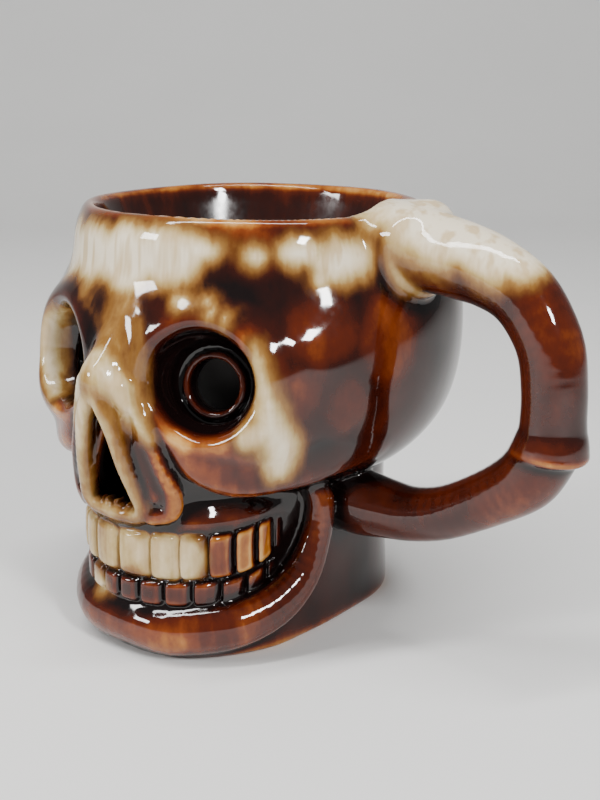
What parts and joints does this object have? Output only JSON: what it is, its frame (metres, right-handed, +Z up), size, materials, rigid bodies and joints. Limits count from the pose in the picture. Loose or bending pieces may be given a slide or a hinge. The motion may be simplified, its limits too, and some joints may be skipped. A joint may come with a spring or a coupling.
{
  "type": "skull mug",
  "caption": "Double-walled ceramic skull mug: open eye sockets and nose, bared teeth in relief, rolled lower jaw, round inner cup and a side handle shaped as two bones.",
  "frame": {"origin": "centre of the rim's circle, dropped to the flat foot", "axes": "+Z up out of the cup's mouth, -Y the way the face looks, +X towards the handle"},
  "size_m": [0.1511, 0.1125, 0.1107],
  "materials": {
    "skull_glaze": "glossy treacle-brown glaze with runny cream patches",
    "jaw_glaze": "glossy red-brown glaze",
    "teeth_glaze": "glossy cream and amber glaze",
    "cup_glaze": "glossy dark brown glaze",
    "bone_glaze": "glossy glaze, cream above and brown below"
  },
  "bodies": {
    "root": {"skull_shell": "skull_glaze", "lower_jaw": "jaw_glaze", "upper_teeth": "teeth_glaze", "lower_teeth": "jaw_glaze", "inner_cup": "cup_glaze", "handle_upper_bone": "bone_glaze", "handle_lower_bone": "jaw_glaze"}
  },
  "joints": []
}
